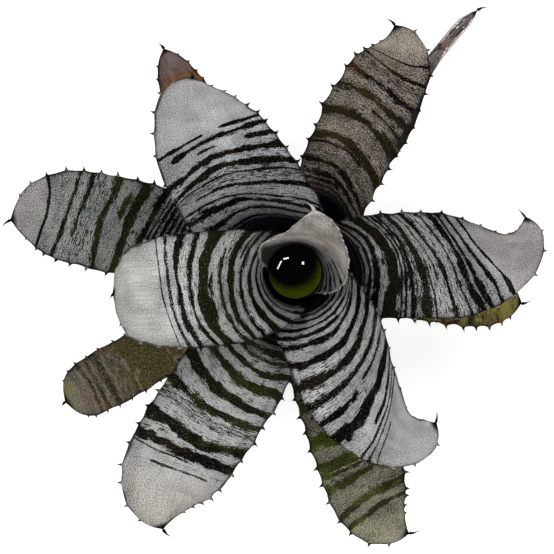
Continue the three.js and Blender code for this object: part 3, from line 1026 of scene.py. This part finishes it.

# Each finish below sets the colour and reach of painted shade in the axil, painted light beside it, and
# painted shade by the margins.
LEAVES: tuple[tuple[LeafForm, LeafFinish], ...] = (
    (LeafForm("heart_leaf", 62, 120, 123, 48, 150, 28, (5, 8, 10, 24, 48), (94, 68, 55, 46, 20),
              (4, 9, 17, 32, 46), (0, -4, -9, -11, -8), spine=1.9, spacing=4.5, spacing_at_tip=3.5,
              scallop=0.28),
     LeafFinish(Slot.SILVER, (
         Band(-22, 3, left=-0.3), Band(-12, 3.5, left=-0.3), Band(-2, 4.6, left=-0.3),
         Band(9, 4.2, left=-0.35), Band(19, 4.5, left=-0.4), Band(28, 4, left=-0.4),
         Band(40, 3.5, 0.9, left=-0.4), Band(52, 1.8, 0.8, left=-0.5)
     ), (
         (0, 25, 6, 2, 10),
     ), 50, (146, 143, 141), (176, 169, 161), sheath=(44, 42, 36), axil_shade_top=31, axil_shade_side=-12,
         lift=1.3, end_grain=0.8, rim=(140, 136, 132), horn=(196, 192, 186))),
    (LeafForm("left_leaf", 196, 108, 194, 48, 140, 21, (16, 38, 66, 105, 160), (72, 52, 40, 30, 12),
              (-4, -9, -12, -13, -13)),
     LeafFinish(Slot.SILVER, (
         Band(2, 5), Band(12, 10), Band(21, 3, 0.8), Band(31, 4, 0.8), Band(43.5, 5.2),
         Band(59.4, 6.8, green=0.2), Band(72, 4, 0.8), Band(77, 1.8, 0.7, left=-0.35),
         Band(84.4, 6.4, green=0.4), Band(91, 1.5, 0.4), Band(95, 4, 0.9, right=0.6, green=0.5),
         Band(109, 10, green=0.4), Band(121, 3, 0.8), Band(129.6, 3.6), Band(136.5, 2.1, 0.5),
         Band(142.2, 1.0, 0.6)
     ), (
         (12, -6, -4, 4, 8), (31, -4, -1, -2, -4), (43.5, 2.8, 1.9, -4.7, -10),
         (59.4, 2.1, 0.6, -7.5, -13), (72, 4, 2.4, -5, -10), (84.4, -1.4, -0.4, -2.4, -8.8),
         (95, -7, -1.5, -2, -6), (109, -6, -1, -0.2, -4), (121, -12, -3.3, -1, -4),
         (129.6, -10.8, -3.3, 1.7, -1.6), (136, -10, -4, 1, 1.5), (143.5, -10.5, -5.5, 1.3, 1.5)
     ), 146, (184, 184, 181), (178, 177, 172), axil_shade_top=12, lift=1.25, rough_edge=1.8, end_grain=0.5,
         streak=0.14, dusk=9)),
    (LeafForm("lower_right_leaf", 300.6, 100, 203, 46, 135, 19, (34, 54, 68, 86, 114),
              (60, 48, 38, 30, 12), (0, -3, 1, 26, 140), (0, 8, 29, 48, 44)),
     LeafFinish(Slot.SILVER, (
         Band(34, 3), Band(41, 3), Band(49, 2.6), Band(56.3, 4), Band(65, 5), Band(80, 5.5),
         Band(93.8, 6.2), Band(107, 4, 0.75), Band(116, 2.2, 0.6, right=0.0),
         Band(119, 3.6, 0.9, left=0.0), Band(133, 7.5), Band(144.4, 2.2, 0.75, right=0.3),
         Band(148.8, 1.5, 0.6), Band(152.5, 1.3, 0.55), Band(156.5, 1.1, 0.5, left=0.2)
     ), (
         (41, -6, -2, 0.5, 1), (49, -8, -3, 0.5, 1), (56.3, -14, -5, 1.7, 1.5), (65, -22, -9.4, 1, 2.5),
         (80, -27, -12, 1.3, 2), (93.8, -27, -11.9, 3.7, 5), (107, -26, -9, 4.4, 6), (118, -22, -7, 5, 6),
         (133, -26, -11, 5.6, 7), (144.4, -24, -9.5, 6, 8), (156, -20, -9.5, 5, 8)
     ), 159, (176, 176, 174), (172, 170, 167), streak=0.12, axil_shade_top=33, lift=1.2)),
    (LeafForm("upper_left_leaf", 127, 98, 206, 55, 130, 34, (26, 52, 76, 100, 145), (56, 42, 34, 26, 12),
              (0, -1, -7, -21, -42), (0, 5, 10, 14, 12)),
     LeafFinish(Slot.SILVER, (
         Band(64.5, 1.2, 0.7), Band(68.7, 2, 0.9), Band(78.5, 3.8), Band(88.5, 4.2, 0.9),
         Band(93.7, 1.4, 0.75), Band(104, 2.8, 0.9, left=0.7), Band(110, 4, 0.35), Band(113.8, 1.6, 0.8),
         Band(116.8, 2, 0.4), Band(120.5, 4.6), Band(129.8, 4.4),
         Band(137.3, 1.6, 0.75, left=0.35, right=0.2), Band(137.3, 2.8, 0.8, left=-0.48),
         Band(143.5, 2.9, left=0.8), Band(148.3, 1.8, 0.9, right=0.05), Band(148.3, 2.4, 0.9, left=-0.2)
     ), (
         (68.5, 16, 8.5, -23, -40), (78.5, 14, 8, -23.5, -42), (88.5, 16, 10, -24.5, -44),
         (93.7, 16, 11, -22.7, -40), (104, 9, 7, -16, -30), (113.8, 4, 3.5, -12, -27),
         (120.5, -2, 1, -10, -26), (129.8, -4, -1.3, -7, -19.5), (137.3, -5, -1.8, -4, -11),
         (143.5, -6, -2.7, -1.5, -6), (148.3, -5, -2.3, 1, -2.5)
     ), 151, (168, 169, 170), (166, 165, 163), cover=0.76, end_grain=0.5, axil_shade_top=70)),
    (LeafForm("lower_left_leaf", 238.4, 88, 246, 44, 125, 23, (38, 68, 82, 88, 98), (50, 38, 30, 24, 10),
              (0, -1, -1, 4, 58), (0, -4, -4, 0, 0)),
     LeafFinish(Slot.SILVER, (
         Band(64, 5, 0.8, green=0.5), Band(74, 6.4, 0.6, green=1.0), Band(81, 3, 0.5, green=1.0),
         Band(90.5, 4.8, green=0.6), Band(104, 7.4, green=0.6), Band(122, 7.4, green=0.3),
         Band(138, 6, 0.75, green=0.2), Band(147, 7, 0.45, green=0.3), Band(164, 7.8, 0.85, green=0.15),
         Band(176.5, 6.4, 0.85), Band(182.5, 1.2, 0.5, left=0.3), Band(187, 2, 0.4, right=0.4),
         Band(192, 1.9, 0.55, left=0.8, right=0.55)
     ), (
         (75, -4, -1, -4, -10), (90, -3, 1.4, -6, -14), (104, 0, 0.8, -6.5, -14), (122, -3, 0, -6.4, -13),
         (138, -8, -2.8, -1.4, -4), (147, -9, -3, -0.7, -1), (164, -12.3, -5.2, -2.4, -2),
         (176.5, -7.8, -2.8, 3.5, 4.3), (192, -9, -4.7, 2, 2)
     ), 202, (190, 190, 188), (188, 184, 176), green=(40, 46, 14), grain=0.45, end_grain=0.62,
         streak=0.12, dusk=15, blotches=0.3, axil_shade_top=66)),
    (LeafForm("right_leaf", 4.9, 90.5, 215, 45, 120, 19, (34, 62, 76, 86, 105), (52, 40, 32, 24, 10),
              (0, -2, -3, 16, 125), (0, 6, 18, 50, 54)),
     LeafFinish(Slot.SILVER, (
         Band(50, 2.5), Band(54.5, 1.6, 0.8), Band(60.4, 2.4), Band(67.6, 5), Band(80.5, 10.5, green=0.2),
         Band(88.4, 1.8, 0.7), Band(92.2, 2, 0.75), Band(96, 2.8, 0.8), Band(100, 10, 0.45),
         Band(104, 5.5, 0.75, green=0.2), Band(109, 1.2, 0.5, left=0.2), Band(114, 1.2, 0.5, right=0.4),
         Band(120.9, 3.2), Band(129.5, 1.4, 0.5), Band(136.2, 4.2, 0.8), Band(142.2, 3.2, 0.8),
         Band(150, 2.8), Band(158.5, 2.3)
     ), (
         (60.4, -18, -6, -0.8, -2), (67.6, -20, -4.8, 0.5, 0), (80.5, -19, -6.3, 1, 1.5),
         (92, -17, -7, 0.5, 1), (103, -18, -8.3, 6, 7.5), (120.9, -27, -13.5, 6.3, 11),
         (136.2, -19.5, -8.6, 6.3, 15), (142.2, -22, -10, 7.6, 15), (150, -22, -11, 9.5, 13.7),
         (158.5, -22, -11, 8.6, 12)
     ), 161, (170, 170, 168), (168, 163, 161), cover=0.7, strokes=0.02, end_grain=0.5, streak=0.14,
         dusk=7, axil_shade_top=57)),
    (LeafForm("upper_right_leaf", 66, 84, 214, 35, 115, 19, (46, 70, 80, 86, 94), (50, 38, 28, 22, 10),
              (0, 0, 0, -7, 64), (0, 0, 3, 12, 20), scallop=0.12),
     LeafFinish(Slot.OLIVE, (
         Band(61, 1.6, 0.7), Band(65, 2, 0.8), Band(69.5, 2.4, 0.6, right=0.2), Band(74, 3.2, 0.8),
         Band(82, 4.4), Band(90, 1.5, 0.4), Band(99, 2, 0.7, right=0.45), Band(105, 6.5, green=0.7),
         Band(127, 6.3, green=0.7), Band(137.7, 2, 0.5, left=0.0), Band(145.5, 4.4, 0.85, green=0.5),
         Band(157, 3.4, 0.85), Band(166.5, 3, 0.35), Band(171, 1.9, 0.85), Band(180.5, 1.3, 0.8)
     ), (
         (58, -4, 0, -6, -12), (74, 0, 0, -10, -18), (82, 2, 2.4, -10.5, -22), (105, -3, 1.3, -9, -21),
         (127, -2.5, 1, -7, -16), (145, -2.5, 0, -5, -10), (157, 0.8, 0, -1.7, -2.5),
         (171, 4.5, 2, 0.7, 2), (181, 1, 0.5, 0.5, 2.5)
     ), 184, (146, 137, 126), (154, 144, 132), (13, 10, 8), (50, 31, 20), (38, 35, 16), cover=0.64,
         rough_edge=2.6, strokes=0.02, grain=0.95, end_grain=0.9, streak=0.12, dusk=8, axil_shade_top=64)),
    (LeafForm("far_left_leaf", 164.4, 80, 229, 40, 110, 17, (50, 74, 84, 90, 97), (46, 36, 28, 22, 10),
              (0, 2, 4.5, 9, 36), (0, 0, 4, 14, 25)),
     LeafFinish(Slot.SILVER, (
         Band(83, 2.4), Band(88, 2.4), Band(93, 2.2), Band(98, 2.6), Band(102.5, 2.6), Band(107.5, 2.4),
         Band(111.5, 1.8), Band(116.5, 5), Band(131, 7, green=0.4),
         Band(138.5, 6, 0.7, left=-0.15, right=0.75, green=1.0), Band(152, 4.8, green=0.5),
         Band(161.8, 1.5, 0.4), Band(166.5, 1.6, 0.4), Band(170, 2.4, 0.7, left=0.5), Band(179.2, 3),
         Band(187, 1.6, 0.4), Band(195.4, 1.9)
     ), (
         (90, 6, 4, -4, -8), (116, 7, 4, -6.5, -11), (131, 4, 2.5, -4, -9), (152, -0.6, 0, -5.3, -10),
         (179, 6.8, 3.4, -3.3, -5), (187, 7, 3.5, -2.7, -4), (195.4, 7, 3.5, -2, 0.6)
     ), 200, (154, 155, 152), (152, 145, 146), green=(44, 42, 14), cover=0.74, rough_edge=2.4, grain=0.8,
         end_grain=0.85, blotches=0.2, axil_shade_top=70)),
    (LeafForm("bottom_leaf", 288.5, 76, 227, 35, 105, 21, (50, 74, 84, 90, 98), (44, 34, 26, 20, 10),
              (0, 0, 0, 5, 70), (0, 0, 0, 10, 20), scallop=0.1),
     LeafFinish(Slot.OLIVE, (
         Band(74, 5, green=0.5), Band(91, 12, 0.8, green=0.7), Band(120, 13, 0.75, green=1.0),
         Band(142, 8, 0.75, green=0.6), Band(149, 1.8, 0.6), Band(156, 5, 0.6, green=0.4),
         Band(176, 5.6, 0.7), Band(187, 3.6, 0.7), Band(199, 5, 0.4, green=0.4)
     ), (
         (90, -6, -3, 2.5, 5), (120, -6, -3, 2.5, 5), (144, -8, -4, 0, 0), (156, -8, -4, 5, 9),
         (176, -8, -3.5, 4, 8), (187, -3, -1.3, 2, 3)
     ), 194, (140, 137, 122), (146, 142, 124), (40, 36, 20), (58, 48, 28), (48, 60, 12),
         blotch=(96, 98, 46), blotches=0.3, cover=0.72, grain=0.95, end_grain=0.85)),
    (LeafForm("old_upper_left_leaf", 122.3, 66, 194, 21, 100, 18, (60, 82, 92, 96, 100),
              (36, 28, 24, 18, 10), (0, 0, -2, -5, -10), spine=1.9, point=6.0),
     LeafFinish(Slot.BROWN, (
         Band(90, 5), Band(110, 5), Band(132, 5), Band(150, 4, 0.45), Band(172, 3, 0.4)
     ), STRAIGHT, 168, (104, 80, 62), (124, 110, 114), (46, 34, 30), (84, 54, 32), blotch=(118, 74, 34),
         blotches=0.9, cover=0.78, cover_in_band=0.3, grain=0.5, end_grain=0.5, streak=0.3, dusk=6)),
    (LeafForm("old_lower_left_leaf", 209.5, 60, 200, 25, 95, 9, (64, 88, 98, 104, 110),
              (36, 28, 24, 18, 10), spine=2.6, scallop=0.02, point=4.0),
     LeafFinish(Slot.BROWN, (
         Band(108, 42, 0.8, green=1.0), Band(138, 13, 0.45), Band(151, 5, 0.6), Band(160.5, 3.6, 0.75),
         Band(167, 3, 0.7), Band(176, 3, 0.45)
     ), STRAIGHT, 190, (150, 145, 128), (140, 142, 74), (36, 32, 20), (84, 56, 42), (72, 68, 34),
         blotch=(92, 74, 50), blotches=0.5, cover=0.6, cover_in_band=0.22, rough_edge=2.6, strokes=0.03,
         grain=0.5, dusk=8)),
    (LeafForm("old_right_leaf", 352.2, 56, 166, 27, 90, 15, (64, 88, 98, 104, 110), (36, 28, 24, 18, 10),
              scallop=0.14),
     LeafFinish(Slot.OLIVE, (
         Band(84, 6), Band(98, 5, 0.7), Band(112, 5, 0.5), Band(124, 4, 0.45), Band(137, 4, 0.5),
         Band(152, 3, 0.45)
     ), (
         (90, 0, 0, 3, 6),
     ), 156, (152, 146, 92), (150, 146, 82), (34, 30, 14), (66, 40, 22), blotch=(120, 114, 44),
         blotches=0.7, cover=0.62, grain=0.9, rim=(50, 16, 18))),
    (LeafForm("dry_leaf", 59.8, 52, 236, 24, 90, 20, (62, 84, 86, 84, 82), (36, 32, 60, 150, 150),
              (0, -4, -6, -10, -16), rolled=13, spine=2.4, hook=-0.6),
     LeafFinish(Slot.BROWN, (
         Band(90, 6, 0.6), Band(120, 6, 0.5), Band(150, 5, 0.5), Band(172, 3, 0.4), Band(190, 2, 0.5)
     ), STRAIGHT, 176, (224, 212, 206), (232, 222, 222), (66, 54, 54), (132, 92, 48),
         sheath=(44, 34, 32), blotch=(168, 118, 66), blotches=0.6, cover=0.7, grain=0.9, end_grain=0.8,
         streak=0.6, dusk=2, axil_shade_top=168)),
)


@dataclass
class Tank:
    """The water that stands in the heart of the rosette."""

    segments: int = 96
    levels: int = 12
    meniscus: float = 0.35
    rim: tuple[tuple[float, float], ...] = ((0.5, 0.7), (0.8, 0.25), (1.2, 0.05))

    def build(self) -> Object:
        """Make the water: a plug that follows the innermost sheath, its rim drawn up by the leaf."""
        heart = LeafSurface(LEAVES[0][0], 0)
        mesh = bmesh.new()
        bmesh.ops.create_circle(mesh, cap_ends=True, segments=self.segments, radius=1.0)
        ring = list(mesh.faces)
        for i in range(self.levels + 1):
            height = mix(WATER_BOTTOM, WATER_LEVEL, i / self.levels)
            radius = heart.radius_at(height) - THICKNESS / 2 - WATER_CLEARANCE
            if i > 0:
                ring = grow(mesh, ring, i == 1)
            for vert in {v for f in ring for v in f.verts}:
                flat = Vector((vert.co.x, vert.co.y, 0)).normalized() * radius * MM
                vert.co = flat + UP * height * MM
        for width, rise in self.rim:
            bmesh.ops.inset_region(mesh, faces=ring, thickness=width * MM, use_even_offset=True)
            for vert in {v for f in ring for v in f.verts}:
                vert.co.z = (WATER_LEVEL - self.meniscus * (1 - rise)) * MM
        skin = WaterFinish().material()
        piece = finish_piece(mesh, "tank_water_still", skin, "tank_water", 40)
        for polygon in piece.data.polygons:
            polygon.use_smooth = len(polygon.vertices) < self.segments
        return piece


@dataclass
class Caudex:
    """The short stem that carries the leaves, with its trimmed wiry roots."""

    segments: int = 72
    scars: int = 3
    flank_steps: int = 8
    root_steps: int = 26
    root_segments: int = 12

    def _profile(self) -> list[tuple[float, float]]:
        """Return the stem's outline from the foot to the top, as radius and height in mm."""
        points = [(0.0, 0.0), (FOOT_RADIUS, 0.0)]
        for i in range(self.scars):
            height = STEM_SHOULDER_HEIGHT * i / self.scars
            radius = mix(FOOT_RADIUS, STEM_SHOULDER_RADIUS, (i + 0.5) / self.scars)
            points += [(radius + 0.8, height + 1), (radius + 0.9, height + 1.9), (radius, height + 2.6)]
        for i in range(self.flank_steps + 1):
            share = i / self.flank_steps
            points.append((mix(STEM_SHOULDER_RADIUS, STEM_TOP_RADIUS, share),
                           mix(STEM_SHOULDER_HEIGHT, STEM_TOP_HEIGHT, share)))
        return points + [(0.5 * STEM_TOP_RADIUS, STEM_TOP_HEIGHT + 3), (0.0, STEM_TOP_HEIGHT + 4)]

    def _add_stem(self, mesh: BMesh) -> None:
        """Spin the outline about the axis and roughen its flank."""
        verts = [mesh.verts.new(Vector((radius, 0, height)) * MM) for radius, height in self._profile()]
        edges = [mesh.edges.new(pair) for pair in zip(verts, verts[1:])]
        bmesh.ops.spin(mesh, geom=verts + edges, cent=(0, 0, 0), axis=(0, 0, 1), angle=2 * math.pi,
                       steps=self.segments, use_merge=True, use_duplicate=False)
        bmesh.ops.remove_doubles(mesh, verts=list(mesh.verts), dist=1e-6)
        for vert in mesh.verts:
            if 0.5 * MM < vert.co.z < STEM_SHOULDER_HEIGHT * MM:
                flat = Vector((vert.co.x, vert.co.y, 0))
                vert.co += flat.normalized() * 0.5 * MM * noise.noise(vert.co * 350)

    def _root_path(self, index: int) -> list[Vector]:
        """Return the guiding points of one root, in mm."""
        azimuth = 2 * math.pi * (index + 0.3 * math.sin(5 * index)) / ROOT_COUNT
        bend = 0.12 * math.sin(3 * index + 1)
        reach = mix(ROOT_REACH[0], ROOT_REACH[1], 0.5 + 0.5 * math.sin(4 * index))
        low = ROOT_RADIUS + ROOT_LIFT
        return [around(azimuth, 16, 7), around(azimuth, FOOT_RADIUS + 1, 6),
                around(azimuth + 0.4 * bend, FOOT_RADIUS + 9, low + 0.3),
                around(azimuth + bend, 0.5 * (FOOT_RADIUS + 9 + reach), low),
                around(azimuth + 1.6 * bend, reach, low)]

    def _add_root(self, mesh: BMesh, index: int) -> None:
        """Draw a disc along one root's path, thinning it a little towards its cut end."""
        columns = list(zip(*self._root_path(index)))
        steps = self.root_steps
        centres = [Vector([through(column, i / steps) for column in columns]) for i in range(steps + 1)]
        disc = bmesh.ops.create_circle(mesh, cap_ends=True, segments=self.root_segments, radius=1.0)
        section = {v: v.co.copy() for v in disc["verts"]}
        ring = list({f for v in disc["verts"] for f in v.link_faces})
        for i, centre in enumerate(centres):
            ahead = (centres[min(i + 1, steps)] - centres[max(i - 1, 0)]).normalized()
            side = ahead.cross(UP).normalized()
            lift = side.cross(ahead)
            if i > 0:
                old = [v for f in ring for v in f.verts]
                ring = grow(mesh, ring, i == 1)
                new = [v for f in ring for v in f.verts]
                links = {v: min(old, key=lambda o, v=v: (o.co - v.co).length) for v in new}
                section = {v: section[links[v]] for v in new}
            knot = 1 - 0.1 * i / steps + 0.07 * noise.noise(centre * 0.2)
            radius = min(ROOT_RADIUS, ROOT_RADIUS * knot)
            for vert, flat in section.items():
                vert.co = (centre + (side * flat.x + lift * flat.y) * radius) * MM

    def build(self) -> Object:
        """Make the caudex and its roots as one piece."""
        mesh = bmesh.new()
        self._add_stem(mesh)
        for index in range(ROOT_COUNT):
            self._add_root(mesh, index)
        return finish_piece(mesh, "caudex", BarkFinish().material(), "stem", 35)


@dataclass
class Studio:
    """A pale floor, soft light from all round and a camera straight above.

    Each glint is a small light beside the camera that shows in the water: its x, y, width and depth in
    metres, and its turn in degrees. The soft light at the upper left is brighter than the other three.
    """

    camera_place: tuple[float, float, float] = (-0.015, -0.004, 1.25)
    lens: float = 90.0
    sensor: float = 36.0
    floor_size: float = 12.0
    floor_drop: float = 0.0004
    light_height: float = 1.5
    light_reach: float = 1.45
    light_size: float = 1.1
    light_power: float = 13.0
    brighter: float = 1.25
    target: tuple[float, float, float] = (0, 0, 0.12)
    glint_radiance: float = 250.0
    glints: tuple[tuple[float, ...], ...] = (
        (0.028, 0.019, 0.0036, 0.0046, 0), (-0.011, 0.016, 0.0148, 0.0018, 64),
        (0.0, 0.0267, 0.0088, 0.0024, 14))
    sky: tuple[float, float, float, float] = (0.95, 0.97, 1.0, 1.0)
    sky_strength: float = 0.3

    def _light(self, name: str, place: Vector, size: float, power: float) -> Object:
        """Add a square soft light that faces the plant."""
        data = bpy.data.lights.new(name, "AREA")
        data.size = size
        data.energy = power
        light = show(name, data)
        light.location = place
        light.rotation_euler = (Vector(self.target) - place).to_track_quat("-Z", "Y").to_euler()
        return light

    def _lay_floor(self) -> None:
        """Lay the floor just below the plant's foot."""
        mesh = bmesh.new()
        bmesh.ops.create_grid(mesh, x_segments=8, y_segments=8, size=self.floor_size / 2)
        floor = show_mesh(mesh, "floor", PaperFinish().material())
        floor.location.z = -self.floor_drop

    def _set_lights(self) -> None:
        """Set four soft lights round the plant, the glints and the sky."""
        for index in range(4):
            turn = math.radians(45 + 90 * index)
            power = self.light_power * (self.brighter if index == 1 else 1.0)
            place = around(turn, self.light_reach, self.light_height)
            self._light(f"softbox_{index}", place, self.light_size, power)
        for index, (x, y, width, depth, turn) in enumerate(self.glints):
            power = self.glint_radiance * math.pi * width * depth
            glint = self._light(f"glint_{index}", Vector((x, y, self.camera_place[2])), width, power)
            glint.data.shape = "RECTANGLE"
            glint.data.size_y = depth
            glint.rotation_euler = (0, 0, math.radians(turn))
        world = bpy.data.worlds.new("studio")
        world.use_nodes = True
        background = world.node_tree.nodes["Background"]
        background.inputs["Color"].default_value = self.sky
        background.inputs["Strength"].default_value = self.sky_strength
        bpy.context.scene.world = world

    def _set_camera(self) -> None:
        """Hang the camera above the plant."""
        data = bpy.data.cameras.new("camera")
        data.lens = self.lens
        data.sensor_width = self.sensor
        data.clip_start = 0.02
        camera = show("camera", data)
        camera.location = self.camera_place
        bpy.context.scene.camera = camera
        bpy.context.scene.view_settings.view_transform = "Standard"

    def build(self) -> None:
        """Set the floor, the lights and the camera."""
        self._lay_floor()
        self._set_lights()
        self._set_camera()


def main() -> None:
    """Build the plant from the stem outwards, then the studio, and log each piece's faces."""
    logging.basicConfig(level=logging.INFO, format="%(message)s")
    pieces = [Caudex().build(), Tank().build()]
    pieces += [Leaf(form, finish, rank).build() for rank, (form, finish) in enumerate(LEAVES)]
    for piece in pieces:
        LOG.info("%s: %d faces", piece.name, len(piece.data.polygons))
    Studio().build()


if __name__ == "__main__":
    main()
